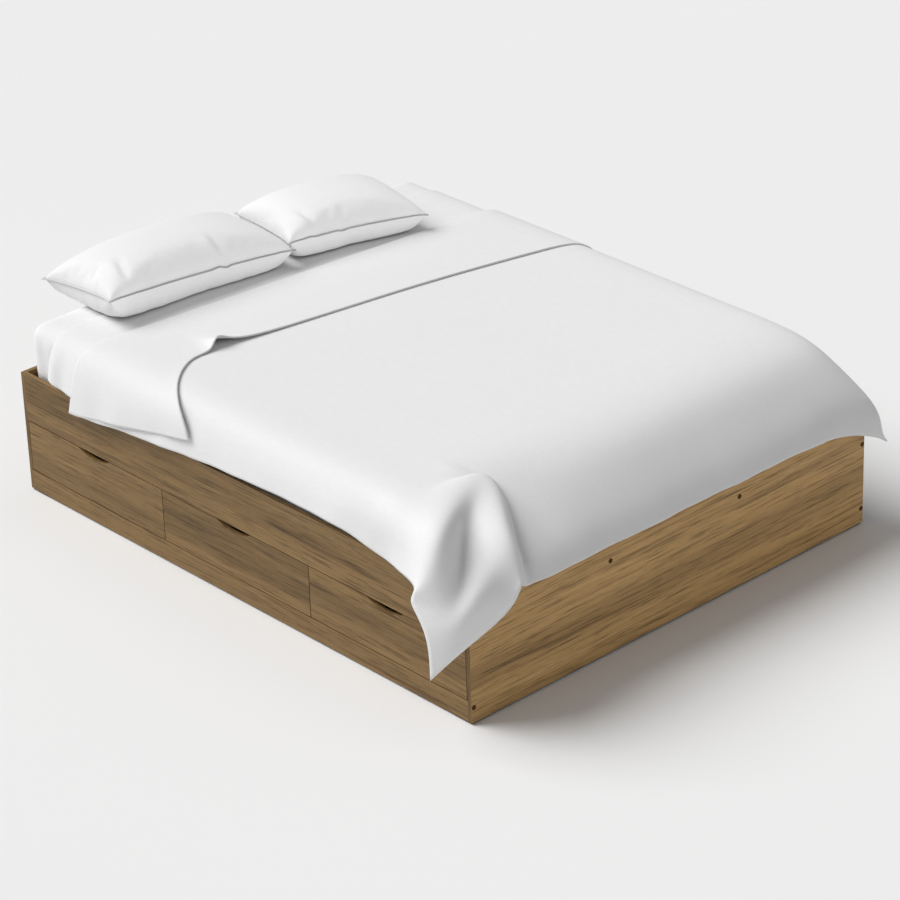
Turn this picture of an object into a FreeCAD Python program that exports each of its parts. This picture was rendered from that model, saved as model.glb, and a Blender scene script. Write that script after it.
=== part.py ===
"""Platform bed with three storage drawers, dressed with a mattress and bedding.

Frame: X across the bed, Y along it (head at +Y, foot at -Y), Z up, millimetres.
The origin is on the floor, under the middle of the frame.  The drawers open towards -X.
"""
import os

import FreeCAD
import Part
import Sketcher

PARTS_FOLDER = "parts"

# Driving dimensions.  Everything else is worked out from these, in the sheet or by expressions.
DIMENSIONS = [
    # the flat-pack frame
    ("board", 15),              # thickness of every board
    ("bed_width", 1640),
    ("bed_length", 2040),
    ("pad_thick", 6),           # floor glides under the boards
    ("panel_height", 407),      # end panels and far side
    ("plinth_height", 67),
    ("rail_height", 164),       # upper board above the drawers
    ("reveal", 3),              # gap round a drawer front
    ("brace_height", 260),      # cross boards under the slat beams
    ("beam_x", 268),            # slat beams, either side of the middle
    ("beam_height", 79),
    ("cleat_size", 20),
    ("cleat_length", 1980),
    ("slat_width", 120),
    ("slat_thick", 15),
    ("slat_length", 1600),
    ("slat_span", 1990),        # first slat's outer edge to the last one's
    ("pad_side", 70),
    ("pad_inset", 5),
    ("small_pad_length", 60),
    ("small_pad_width", 40),
    # fastenings
    ("cap_radius", 7.5),
    ("cap_thick", 1.2),
    ("corner_screw_inset", 9),
    ("screw_low", 55),
    ("screw_mid", 275),
    ("screw_high", 387),
    ("screw_shank_radius", 3.5),
    ("screw_thread_radius", 2.4),
    ("screw_length", 50),
    ("screw_play", 0.1),
    ("slat_screw_radius", 2),
    ("slat_screw_length", 30),
    ("slat_screw_inset", 10),
    # drawers
    ("drawer_depth", 470),
    ("drawer_side_height", 120),
    ("drawer_side_thick", 12),
    ("drawer_bottom_thick", 3),
    ("drawer_lift", 17),        # box side above the lower edge of its front
    ("runner_space", 12.7),     # between a box side and the board next to it
    ("runner_height", 40),
    ("runner_sheet", 1.2),
    ("runner_length", 450),
    ("runner_setback", 8),
    ("runner_play", 0.6),
    ("notch_width", 155),       # finger pull in the top edge of a front
    ("notch_depth", 18),
    ("lock_radius", 7.4),
    ("lock_thick", 9),
    ("lock_setback", 24),
    # soft goods
    ("mattress_width", 1600),
    ("mattress_length", 2000),
    ("mattress_thick", 224.7),
    ("mattress_round", 45),
    ("lay_gap", 0.3),           # between one soft layer and the next
    ("sheet_thick", 3),
    ("sheet_flare", 28),
    ("sheet_hem", 400),
    ("sheet_head", 900),
    ("sheet_foot", 470),
    ("spread_thick", 8),
    ("spread_flare", 50),
    ("spread_hem", 390),
    ("spread_head", 630),
    ("spread_slant", 5),
    ("corner_tip", 160),        # height of the spread's hanging corners
    ("corner_side", 270),
    ("corner_foot", 250),
    ("near_pillow_length", 680),
    ("far_pillow_length", 505),
    ("pillow_width", 380),
    ("pillow_thick", 160),
    ("pillow_round", 60),
]

# Sizes that follow from the driving ones.
DERIVED = [
    ("half_width", "bed_width / 2"),
    ("half_length", "bed_length / 2"),
    ("side_x", "half_width - board"),
    ("end_y", "half_length - board"),
    ("frame_top", "pad_thick + panel_height"),
    ("rail_low", "frame_top - rail_height"),
    ("plinth_top", "pad_thick + plinth_height"),
    ("front_low", "plinth_top + reveal"),
    ("front_height", "rail_low - reveal - front_low"),
    ("bay_width", "(2 * end_y - 2 * board) / 3"),
    ("brace_y", "bay_width / 2 + board / 2"),
    ("beam_low", "pad_thick + brace_height"),
    ("slat_low", "beam_low + beam_height"),
    ("platform_top", "slat_low + slat_thick"),
    ("beam_out", "beam_x + board / 2"),
    ("beam_in", "beam_x - board / 2"),
    ("screw_beam", "beam_low + beam_height / 2"),
    ("box_width", "bay_width - 2 * runner_space"),
    ("box_low", "front_low + drawer_lift"),
    ("box_inner", "box_width - 2 * drawer_side_thick"),
    ("runner_low", "box_low + (drawer_side_height - runner_height) / 2"),
    ("notch_radius", "(notch_width ^ 2 / 4 + notch_depth ^ 2) / (2 * notch_depth)"),
    ("mattress_top", "platform_top + lay_gap + mattress_thick"),
    ("sheet_low", "mattress_top + lay_gap"),
    ("spread_low", "sheet_low + sheet_thick + lay_gap"),
]

SLAT_COUNT = 11
# Bays from the head to the foot: bay centre, and the two ends of the front, in sheet terms.
BAYS = [
    ("drawer_1", "brace_y * 2", "brace_y + reveal / 2", "end_y - reveal"),
    ("drawer_2", "0", "-brace_y + reveal / 2", "brace_y - reveal / 2"),
    ("drawer_3", "-brace_y * 2", "-end_y + reveal", "-brace_y - reveal / 2"),
]
# Pillows: name, length, centre X, centre Y, turn about Z in degrees.
PILLOWS = [
    ("pillow_near", "near_pillow_length", -302, 900, -4.5),
    ("pillow_far", "far_pillow_length", 306, 825, -13),
]

doc = FreeCAD.newDocument("platform_bed")
sheet = doc.addObject("Spreadsheet::Sheet", "sizes")
aliases = set()
subparts = []


def fill_sheet():
    """Write the driving sizes and the derived formulas, one row each."""
    for row, (name, value) in enumerate(DIMENSIONS + DERIVED, start=1):
        sheet.set(f"A{row}", name)
        is_formula = isinstance(value, str)
        sheet.set(f"B{row}", f"={value}" if is_formula else str(value))
        sheet.setAlias(f"B{row}", name)
        aliases.add(name)
    doc.recompute()


def size(name):
    return float(getattr(sheet, name))


def in_sheet(expression):
    """Point the names in an expression at the sheet's cells."""
    words = []
    word = ""
    for letter in expression + " ":
        if letter.isalnum() or letter == "_":
            word += letter
            continue
        words.append(f"sizes.{word}" if word in aliases else word)
        words.append(letter)
        word = ""
    return "".join(words).strip()


def bind(thing, **properties):
    for name, expression in properties.items():
        thing.setExpression(name.replace("__", "."), in_sheet(str(expression)))


def place(thing, x="0", y="0", z="0"):
    bind(
        thing,
        Placement__Base__x=f"({x}) * 1 mm",
        Placement__Base__y=f"({y}) * 1 mm",
        Placement__Base__z=f"({z}) * 1 mm",
    )


def box(label, low, extent):
    """A box from its lowest corner and its three sizes, as expressions."""
    thing = doc.addObject("Part::Box", label)
    bind(thing, Length=extent[0], Width=extent[1], Height=extent[2])
    place(thing, *low)
    return thing


def rod(label, centre, radius, length, axis):
    """A cylinder that starts at centre and runs along +Y or -Y or +Z or -Z."""
    thing = doc.addObject("Part::Cylinder", label)
    bind(thing, Radius=radius, Height=length)
    turns = {"+Z": (1, 0, 0, 0), "-Z": (1, 0, 0, 180), "+Y": (1, 0, 0, -90), "-Y": (1, 0, 0, 90)}
    x, y, z, angle = turns[axis]
    thing.Placement.Rotation = FreeCAD.Rotation(FreeCAD.Vector(x, y, z), angle)
    place(thing, *centre)
    return thing


def group(label, members):
    thing = doc.addObject("Part::Compound", label)
    thing.Links = members
    return thing


def fused(label, members):
    thing = doc.addObject("Part::MultiFuse", label)
    thing.Shapes = members
    return thing


def cut(label, base, tool):
    thing = doc.addObject("Part::Cut", label)
    thing.Base = base
    thing.Tool = tool
    return thing


def keep(thing, label):
    """Name a finished sub-part and put it on the list to export."""
    thing.Label = label
    subparts.append(thing)
    return thing


# ---------------------------------------------------------------- fastenings

def end_screws():
    """Places of the screws through each end panel: X, Z and the board they hold."""
    corner = "(half_width - corner_screw_inset)"
    places = [(f"-{corner}", "screw_low", "drawer_side_plinth")]
    places += [(f"-{corner}", height, "drawer_side_rail") for height in ("screw_mid", "screw_high")]
    places += [(corner, height, "far_side_panel") for height in ("screw_low", "screw_mid", "screw_high")]
    places += [("-beam_x", "screw_beam", "slat_beam_near"), ("beam_x", "screw_beam", "slat_beam_far")]
    return places


def panel_screw(name, x, z, end, play):
    """One screw through an end panel at end = -1 (foot) or 1 (head), or the hole for it."""
    inward = "-Y" if end > 0 else "+Y"
    face = f"{end} * half_length"
    seam = f"{end} * end_y"
    shank = rod(f"{name}_shank", (x, face, z), f"screw_shank_radius + {play}", "board", inward)
    thread_length = f"screw_length - board + {play}"
    thread = rod(f"{name}_thread", (x, seam, z), f"screw_thread_radius + {play}", thread_length, inward)
    return fused(name, [shank, thread])


def holes_for(board, ends=(-1, 1)):
    """Hole tools in one of the boards that the end screws hold."""
    tools = []
    for end in ends:
        for index, (x, z, held) in enumerate(end_screws()):
            if held == board:
                tools.append(panel_screw(f"{board}_hole_{end + 1}_{index}", x, z, end, "screw_play"))
    return group(f"{board}_holes", tools)


def end_panel(label, end):
    """Full-width panel that caps the side boards, drilled for its eight screws."""
    low = ("-half_width", "end_y" if end > 0 else "-half_length", "pad_thick")
    blank = box(f"{label}_blank", low, ("bed_width", "board", "panel_height"))
    tools = [
        panel_screw(f"{label}_hole_{index}", x, z, end, "screw_play")
        for index, (x, z, held) in enumerate(end_screws())
    ]
    keep(cut(f"{label}_drilled", blank, group(f"{label}_holes", tools)), label)


def panel_screws_and_caps():
    screws = []
    caps = []
    for end in (-1, 1):
        for index, (x, z, held) in enumerate(end_screws()):
            name = f"panel_screw_{end + 1}_{index}"
            screws.append(panel_screw(name, x, z, end, "0"))
            outward = "+Y" if end > 0 else "-Y"
            face = f"{end} * half_length"
            caps.append(rod(f"{name}_cap", (x, face, z), "cap_radius", "cap_thick", outward))
    keep(group("screws", screws), "panel_screws")
    keep(group("caps", caps), "screw_caps")


# ---------------------------------------------------------------- carcass

def side_board(label, low_x, low_z, height):
    """A board along the bed, held at both ends by the end screws."""
    blank = box(f"{label}_blank", (low_x, "-end_y", low_z), ("board", "2 * end_y", height))
    keep(cut(f"{label}_drilled", blank, holes_for(label)), label)


def cross_boards():
    """Boards across the bed: they carry the beams, and on the near side part the drawers."""
    for number, y in ((1, "brace_y"), (2, "-brace_y")):
        low_y = f"{y} - board / 2"
        extent = ("side_x - beam_in", "board", "brace_height")
        near = box(f"divider_{number}", ("-side_x", low_y, "pad_thick"), extent)
        far = box(f"brace_{number}", ("beam_in", low_y, "pad_thick"), extent)
        keep(near, f"drawer_divider_{number}")
        keep(far, f"far_brace_{number}")
    extent = ("2 * beam_in", "board", "slat_low - pad_thick")
    keep(box("centre", ("-beam_in", "-board / 2", "pad_thick"), extent), "centre_board")


def slat_places():
    step = f"(slat_span - slat_width) / {SLAT_COUNT - 1}"
    return [f"-slat_span / 2 + {index} * {step}" for index in range(SLAT_COUNT)]


def slat_screw_row(name, side, play):
    """Tools or screws along one cleat: side = -1 near, 1 far."""
    x = f"{side} * (slat_length / 2 - slat_screw_inset)"
    screws = []
    for index, low_y in enumerate(slat_places()):
        centre = (x, f"{low_y} + slat_width / 2", "platform_top")
        radius = f"slat_screw_radius + {play}"
        screws.append(rod(f"{name}_{index}", centre, radius, f"slat_screw_length + {play}", "-Z"))
    return screws


def cleats_and_slats():
    for label, side in (("near_cleat", -1), ("far_cleat", 1)):
        low_x = "-side_x" if side < 0 else "side_x - cleat_size"
        low = (low_x, "-cleat_length / 2", "slat_low - cleat_size")
        blank = box(f"{label}_blank", low, ("cleat_size", "cleat_length", "cleat_size"))
        holes = group(f"{label}_holes", slat_screw_row(f"{label}_hole", side, "screw_play"))
        keep(cut(f"{label}_drilled", blank, holes), label)
    near_holes = slat_screw_row("slat_hole_near", -1, "screw_play")
    far_holes = slat_screw_row("slat_hole_far", 1, "screw_play")
    for index, low_y in enumerate(slat_places()):
        label = f"slat_{index + 1:02d}"
        low = ("-slat_length / 2", low_y, "slat_low")
        blank = box(f"{label}_blank", low, ("slat_length", "slat_width", "slat_thick"))
        holes = group(f"{label}_holes", [near_holes[index], far_holes[index]])
        keep(cut(f"{label}_drilled", blank, holes), label)
    screws = slat_screw_row("slat_screw_near", -1, "0") + slat_screw_row("slat_screw_far", 1, "0")
    keep(group("slat_screw_set", screws), "slat_screws")


def floor_pads():
    """Black glides: one at each corner, one under each cross board, one under the middle."""
    pads = []
    corner = ("pad_side", "pad_side", "pad_thick")
    for side_x in ("-half_width + pad_inset", "half_width - pad_inset - pad_side"):
        for side_y in ("-half_length + pad_inset", "half_length - pad_inset - pad_side"):
            pads.append(box(f"corner_pad_{len(pads)}", (side_x, side_y, "0"), corner))
    small = ("small_pad_length", "small_pad_width", "pad_thick")
    for middle_x in ("-beam_x", "beam_x"):
        for middle_y in ("-brace_y", "brace_y"):
            low = (f"{middle_x} - small_pad_length / 2", f"{middle_y} - small_pad_width / 2", "0")
            pads.append(box(f"brace_pad_{len(pads)}", low, small))
    keep(group("pads", pads), "floor_pads")
    keep(box("middle_pad", ("-small_pad_length / 2", "-small_pad_width / 2", "0"), small), "centre_pad")


# ---------------------------------------------------------------- drawers

def origin_plane(body, role):
    return next(plane for plane in body.Origin.OriginFeatures if plane.Role == role)


def new_sketch(body, role):
    sketch = body.newObject("Sketcher::SketchObject", f"{body.Name}_sketch")
    sketch.AttachmentSupport = [(origin_plane(body, role), "")]
    sketch.MapMode = "FlatFace"
    return sketch


def pin_point(sketch, geometry, point, expressions, start):
    """Fix one point of a sketch by its distances from the sketch's origin."""
    for kind, expression, value in zip(("DistanceX", "DistanceY"), expressions, start):
        index = sketch.addConstraint(Sketcher.Constraint(kind, -1, 1, geometry, point, float(value)))
        sketch.setExpression(f"Constraints[{index}]", in_sheet(f"({expression}) * 1 mm"))


def drawer_front(label, low_y, high_y):
    """Front board with the shallow finger arc in the middle of its top edge."""
    body = doc.addObject("PartDesign::Body", f"{label}_body")
    sketch = new_sketch(body, "YZ_Plane")
    width = f"({high_y} - ({low_y}))"
    half = f"{width} / 2"
    corners = [
        ("0", "0"),
        (width, "0"),
        (width, "front_height"),
        (f"{half} + notch_width / 2", "front_height"),
        (f"{half} - notch_width / 2", "front_height"),
        ("0", "front_height"),
    ]
    nominal_width = size("bay_width")
    height = size("front_height")
    notch = size("notch_width") / 2
    middle = nominal_width / 2
    guesses = [(0, 0), (nominal_width, 0), (nominal_width, height)]
    guesses += [(middle + notch, height), (middle - notch, height), (0, height)]
    points = [FreeCAD.Vector(x, y, 0) for x, y in guesses]
    bottom = FreeCAD.Vector(middle, height - size("notch_depth"), 0)
    for index in range(len(points)):
        start, end = points[index], points[(index + 1) % len(points)]
        if index == 3:
            sketch.addGeometry(Part.Arc(start, bottom, end), False)
        else:
            sketch.addGeometry(Part.LineSegment(start, end), False)
    # Part.Arc runs counter-clockwise, so the notch arc starts at its low-Y end.
    arc_start, arc_end = 1, 2
    ends = {index: (1, 2) for index in range(len(points))}
    ends[3] = (arc_end, arc_start)
    for index in range(len(points)):
        after = (index + 1) % len(points)
        joint = Sketcher.Constraint("Coincident", index, ends[index][1], after, ends[after][0])
        sketch.addConstraint(joint)
    for index, (corner, guess) in enumerate(zip(corners, guesses)):
        pin_point(sketch, index, ends[index][0], corner, guess)
    radius = sketch.addConstraint(Sketcher.Constraint("Radius", 3, size("notch_radius")))
    sketch.setExpression(f"Constraints[{radius}]", in_sheet("notch_radius * 1 mm"))
    pad = body.newObject("PartDesign::Pad", f"{label}_pad")
    pad.Profile = sketch
    bind(pad, Length="board")
    doc.recompute()
    place(body, "-half_width", low_y, "front_low")
    keep(body, label)


def cam_lock_places(side, centre_y):
    """Two cam locks in the inner face of a box side, near the front."""
    inner_y = f"{centre_y} + {side} * box_inner / 2"
    x = "-side_x + lock_setback"
    heights = ("box_low + drawer_side_height / 4", "box_low + drawer_side_height * 3 / 4")
    return [(x, inner_y, height) for height in heights]


def drawer_box(label, centre_y):
    """Two sides, a back and a bottom, with the cam locks that hold the front on."""
    lock_sets = []
    for name, side in (("left_side", 1), ("right_side", -1)):
        low_y = f"{centre_y} + box_inner / 2" if side > 0 else f"{centre_y} - box_width / 2"
        extent = ("drawer_depth", "drawer_side_thick", "drawer_side_height")
        blank = box(f"{label}_{name}_blank", ("-side_x", low_y, "box_low"), extent)
        outward = "+Y" if side > 0 else "-Y"
        pockets = []
        for index, centre in enumerate(cam_lock_places(side, centre_y)):
            stem = f"{label}_{name}_lock_{index}"
            pocket_radius = "lock_radius + screw_play"
            pockets.append(rod(f"{stem}_pocket", centre, pocket_radius, "lock_thick", outward))
            lock_sets.append(rod(stem, centre, "lock_radius", "lock_thick", outward))
        bored = cut(f"{label}_{name}_bored", blank, group(f"{label}_{name}_pockets", pockets))
        keep(bored, f"{label}_{name}")
    keep(group(f"{label}_lock_set", lock_sets), f"{label}_cam_locks")
    low_y = f"{centre_y} - box_inner / 2"
    back_x = "-side_x + drawer_depth - drawer_side_thick"
    extent = ("drawer_side_thick", "box_inner", "drawer_side_height")
    keep(box(f"{label}_back_board", (back_x, low_y, "box_low"), extent), f"{label}_back")
    low = ("-side_x", f"{centre_y} - box_width / 2", "box_low - drawer_bottom_thick")
    extent = ("drawer_depth", "box_width", "drawer_bottom_thick")
    keep(box(f"{label}_bottom_board", low, extent), f"{label}_bottom")


def runner_bars(label, centre_y):
    """The moving halves of the two runners, on the outsides of the box."""
    bars = []
    gap = "(runner_sheet + runner_play)"
    extent = ("runner_length", f"runner_space - {gap}", f"runner_height - 2 * {gap}")
    low_ys = (f"{centre_y} - box_width / 2 - runner_space + {gap}", f"{centre_y} + box_width / 2")
    for name, low_y in zip(("right", "left"), low_ys):
        low = ("-side_x + runner_setback", low_y, f"runner_low + {gap}")
        bars.append(box(f"{label}_{name}_bar", low, extent))
    keep(group(f"{label}_bar_pair", bars), f"{label}_runner_bars")


def runner_channels():
    """The fixed halves: folded channels on the boards either side of each bay."""
    channels = []
    depth = "(runner_space - 2 * runner_sheet)"
    low_x = "-side_x + runner_setback"
    outer_extent = ("runner_length", depth, "runner_height")
    hollow_extent = ("runner_length", f"{depth} - runner_sheet", "runner_height - 2 * runner_sheet")
    for label, centre_y, *_ in BAYS:
        right_wall = f"{centre_y} - bay_width / 2"
        left_wall = f"{centre_y} + bay_width / 2"
        lows = (
            ("right", right_wall, f"{right_wall} + runner_sheet"),
            ("left", f"{left_wall} - {depth}", f"{left_wall} - {depth}"),
        )
        for name, outer_y, hollow_y in lows:
            stem = f"{label}_{name}_channel"
            outer = box(f"{stem}_outer", (low_x, outer_y, "runner_low"), outer_extent)
            hollow = box(f"{stem}_hollow", (low_x, hollow_y, "runner_low + runner_sheet"), hollow_extent)
            channels.append(cut(stem, outer, hollow))
    keep(group("channels", channels), "runner_channels")


# ---------------------------------------------------------------- soft goods

def rounded_block(label, extent, radius, centre, turn=0):
    """A cushion-like block: a padded rectangle with every edge rounded."""
    body = doc.addObject("PartDesign::Body", f"{label}_body")
    sketch = new_sketch(body, "XY_Plane")
    quarters = ((-1, -1), (1, -1), (1, 1), (-1, 1))
    corners = [(f"{x} * {extent[0]} / 2", f"{y} * {extent[1]} / 2") for x, y in quarters]
    guesses = [(x * size(extent[0]) / 2, y * size(extent[1]) / 2) for x, y in quarters]
    points = [FreeCAD.Vector(x, y, 0) for x, y in guesses]
    for index in range(4):
        sketch.addGeometry(Part.LineSegment(points[index], points[(index + 1) % 4]), False)
    for index in range(4):
        sketch.addConstraint(Sketcher.Constraint("Coincident", index, 2, (index + 1) % 4, 1))
    for index, (corner, guess) in enumerate(zip(corners, guesses)):
        pin_point(sketch, index, 1, corner, guess)
    pad = body.newObject("PartDesign::Pad", f"{label}_pad")
    pad.Profile = sketch
    bind(pad, Length=extent[2])
    doc.recompute()
    rounding = body.newObject("PartDesign::Fillet", f"{label}_fillet")
    edges = [f"Edge{number + 1}" for number in range(len(pad.Shape.Edges))]
    rounding.Base = (pad, edges)
    bind(rounding, Radius=radius)
    doc.recompute()
    body.Placement.Rotation = FreeCAD.Rotation(FreeCAD.Vector(0, 0, 1), turn)
    place(body, *centre)
    keep(body, label)


def draped_cap(label, thick, top_low, flare, hem, head, foot, clear):
    """A cloth over the mattress: a flat top with flared skirts, open where head or foot is cut off."""
    drop = f"({top_low} - {hem})"
    half = f"(mattress_width / 2 + {clear})"
    foot_wall = f"({foot})"

    def wedge(name, spread, base, height, extra):
        """A box that widens downwards: local Y is up, local Z runs towards the foot."""
        thing = doc.addObject("Part::Wedge", name)
        lean = f"{flare} * ({height}) / {drop}"
        bind(
            thing,
            Xmin=f"-{half} - {spread} - {lean}", Xmax=f"{half} + {spread} + {lean}",
            X2min=f"-{half} - {spread}", X2max=f"{half} + {spread}",
            Ymin="0", Ymax=height,
            Zmin=f"-({head}) - {extra}", Z2min=f"-({head}) - {extra}",
            Zmax=f"{foot_wall} + {spread} + {lean}", Z2max=f"{foot_wall} + {spread}",
        )
        thing.Placement.Rotation = FreeCAD.Rotation(FreeCAD.Vector(1, 0, 0), 90)
        place(thing, "0", "0", base)
        return thing

    outer = wedge(f"{label}_outer", thick, hem, f"{drop} + {thick}", "0")
    inner = wedge(f"{label}_inner", "0", hem, drop, "20")
    return outer, inner


def top_sheet():
    """The sheet that shows between the pillows and the spread; its skirts hang at both sides."""
    outer, inner = draped_cap(
        "top_sheet",
        thick="sheet_thick", top_low="sheet_low", flare="sheet_flare", hem="sheet_hem",
        head="sheet_head", foot="-sheet_foot", clear="1",
    )
    low = ("-bed_width", "sheet_foot - 60", "0")
    through = box("top_sheet_foot_cut", low, ("2 * bed_width", "60", "1000"))
    hollow = fused("top_sheet_hollow", [inner, through])
    keep(cut("top_sheet_cap", outer, hollow), "top_sheet")


def bedspread():
    """The spread; its head end lies a little askew across the bed."""
    outer, inner = draped_cap(
        "bedspread",
        thick="spread_thick", top_low="spread_low", flare="spread_flare", hem="spread_hem",
        head="spread_head + 90", foot="mattress_length / 2 + 6", clear="6",
    )
    low = ("-bed_width", "spread_head + bed_width * tan(spread_slant)", "0")
    beyond = box("bedspread_head_cut", low, ("2.2 * bed_width", "400", "1000"))
    beyond.Placement.Rotation = FreeCAD.Rotation(FreeCAD.Vector(0, 0, 1), -size("spread_slant"))
    hollow = fused("bedspread_hollow", [inner, beyond])
    keep(cut("bedspread_cap", outer, hollow), "bedspread")


def hanging_corner(label, side):
    """The pointed corner of the spread below its hem: two triangles that meet in a fold."""
    top = size("spread_hem") - size("lay_gap")
    tip = size("corner_tip")
    lean = size("spread_flare")
    corner_x = side * (size("mattress_width") / 2 + 6 + lean + size("spread_thick"))
    corner_y = -(size("mattress_length") / 2 + 6 + lean + size("spread_thick"))
    thick = size("spread_thick")
    side_end = corner_y + size("corner_side")
    foot_end = corner_x - side * size("corner_foot")
    side_points = [(corner_x, corner_y, top), (corner_x, side_end, top), (corner_x, corner_y, tip)]
    foot_points = [(corner_x, corner_y, top), (foot_end, corner_y, top), (corner_x, corner_y, tip)]
    solids = []
    for points, direction in (
        (side_points, FreeCAD.Vector(-side * thick, 0, 0)),
        (foot_points, FreeCAD.Vector(0, thick, 0)),
    ):
        outline = Part.makePolygon([FreeCAD.Vector(*point) for point in points + points[:1]])
        solids.append(Part.Face(outline).extrude(direction))
    thing = doc.addObject("Part::Feature", label)
    thing.Shape = solids[0].fuse(solids[1]).removeSplitter()
    keep(thing, label)


def soft_goods():
    extent = ("mattress_width", "mattress_length", "mattress_thick")
    rounded_block("mattress", extent, "mattress_round", ("0", "0", "platform_top + lay_gap"))
    top_sheet()
    bedspread()
    hanging_corner("bedspread_corner_near", -1)
    hanging_corner("bedspread_corner_far", 1)
    for label, length, x, y, turn in PILLOWS:
        extent = (length, "pillow_width", "pillow_thick")
        centre = (str(x), str(y), "sheet_low + sheet_thick + lay_gap")
        rounded_block(label, extent, "pillow_round", centre, turn)


def build():
    fill_sheet()
    end_panel("head_panel", 1)
    end_panel("foot_panel", -1)
    side_board("drawer_side_rail", "-half_width", "rail_low", "rail_height")
    side_board("drawer_side_plinth", "-half_width", "pad_thick", "plinth_height")
    side_board("far_side_panel", "side_x", "pad_thick", "panel_height")
    side_board("slat_beam_near", "-beam_out", "beam_low", "beam_height")
    side_board("slat_beam_far", "beam_in", "beam_low", "beam_height")
    cross_boards()
    cleats_and_slats()
    floor_pads()
    panel_screws_and_caps()
    runner_channels()
    for label, centre_y, low_y, high_y in BAYS:
        drawer_front(f"{label}_front", low_y, high_y)
        drawer_box(label, centre_y)
        runner_bars(label, centre_y)
    soft_goods()
    doc.recompute()


def check_and_export():
    """Stop on any failed object, then write one STEP file for each sub-part."""
    for thing in doc.Objects:
        if "Invalid" in thing.State or "Error" in thing.State:
            raise RuntimeError(f"{thing.Label} failed: {thing.State}")
    os.makedirs(PARTS_FOLDER, exist_ok=True)
    for thing in subparts:
        shape = thing.Shape
        if shape.isNull() or not shape.isValid() or not shape.Solids:
            raise RuntimeError(f"{thing.Label} has no valid solid")
        shape.exportStep(os.path.join(PARTS_FOLDER, f"{thing.Label}.step"))
        limits = shape.BoundBox
        low = [round(value, 1) for value in (limits.XMin, limits.YMin, limits.ZMin)]
        high = [round(value, 1) for value in (limits.XMax, limits.YMax, limits.ZMax)]
        litres = shape.Volume / 1e6
        print(f"{thing.Label}: {len(shape.Solids)} solids, {litres:.3f} litres, {low} {high}")
    print(f"{len(subparts)} sub-parts written")


build()
check_and_export()
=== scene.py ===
"""Looks of the platform bed with three storage drawers: laminate, fittings, mattress and bedding.

Metres, in the CAD frame: X across the bed, Y along it (head at +Y, foot at -Y), Z up.
"""
import math

import bmesh
import bpy
import numpy as np
from mathutils import Matrix, Quaternion, Vector, noise


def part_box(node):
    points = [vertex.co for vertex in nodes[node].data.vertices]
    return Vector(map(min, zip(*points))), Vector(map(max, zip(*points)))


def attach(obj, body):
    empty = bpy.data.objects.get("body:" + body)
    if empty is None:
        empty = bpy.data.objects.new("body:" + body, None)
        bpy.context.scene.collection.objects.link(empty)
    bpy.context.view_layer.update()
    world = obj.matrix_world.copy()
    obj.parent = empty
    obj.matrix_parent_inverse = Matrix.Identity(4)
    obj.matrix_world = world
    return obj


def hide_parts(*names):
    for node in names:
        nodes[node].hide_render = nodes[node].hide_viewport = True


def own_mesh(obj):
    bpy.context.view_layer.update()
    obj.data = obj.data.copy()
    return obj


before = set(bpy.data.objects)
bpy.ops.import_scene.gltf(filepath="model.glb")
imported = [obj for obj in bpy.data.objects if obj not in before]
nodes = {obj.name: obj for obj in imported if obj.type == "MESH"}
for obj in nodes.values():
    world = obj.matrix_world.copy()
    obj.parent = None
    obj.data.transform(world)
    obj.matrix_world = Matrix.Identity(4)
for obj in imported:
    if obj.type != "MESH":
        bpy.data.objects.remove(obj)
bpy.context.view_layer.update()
scene = bpy.context.scene

# ---------------------------------------------------------------- places taken from the CAD
MATTRESS_LOW, MATTRESS_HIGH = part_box("mattress")
FOOT_LOW, FOOT_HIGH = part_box("foot_panel")
FRAME_X = FOOT_HIGH.x
FRAME_Y = -FOOT_LOW.y
FRAME_TOP = FOOT_HIGH.z
EDGE_X = MATTRESS_HIGH.x
BED_TOP = MATTRESS_HIGH.z
SHEET_TOP = BED_TOP + 0.0035
SPREAD_TOP = BED_TOP + 0.010
CUFF_TOP = BED_TOP + 0.0165
FOOT_DROP = 0.16                 # how far the mattress's foot end is lowered from its CAD block
FLOOR_REACH = 60


# ---------------------------------------------------------------- materials

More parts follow.
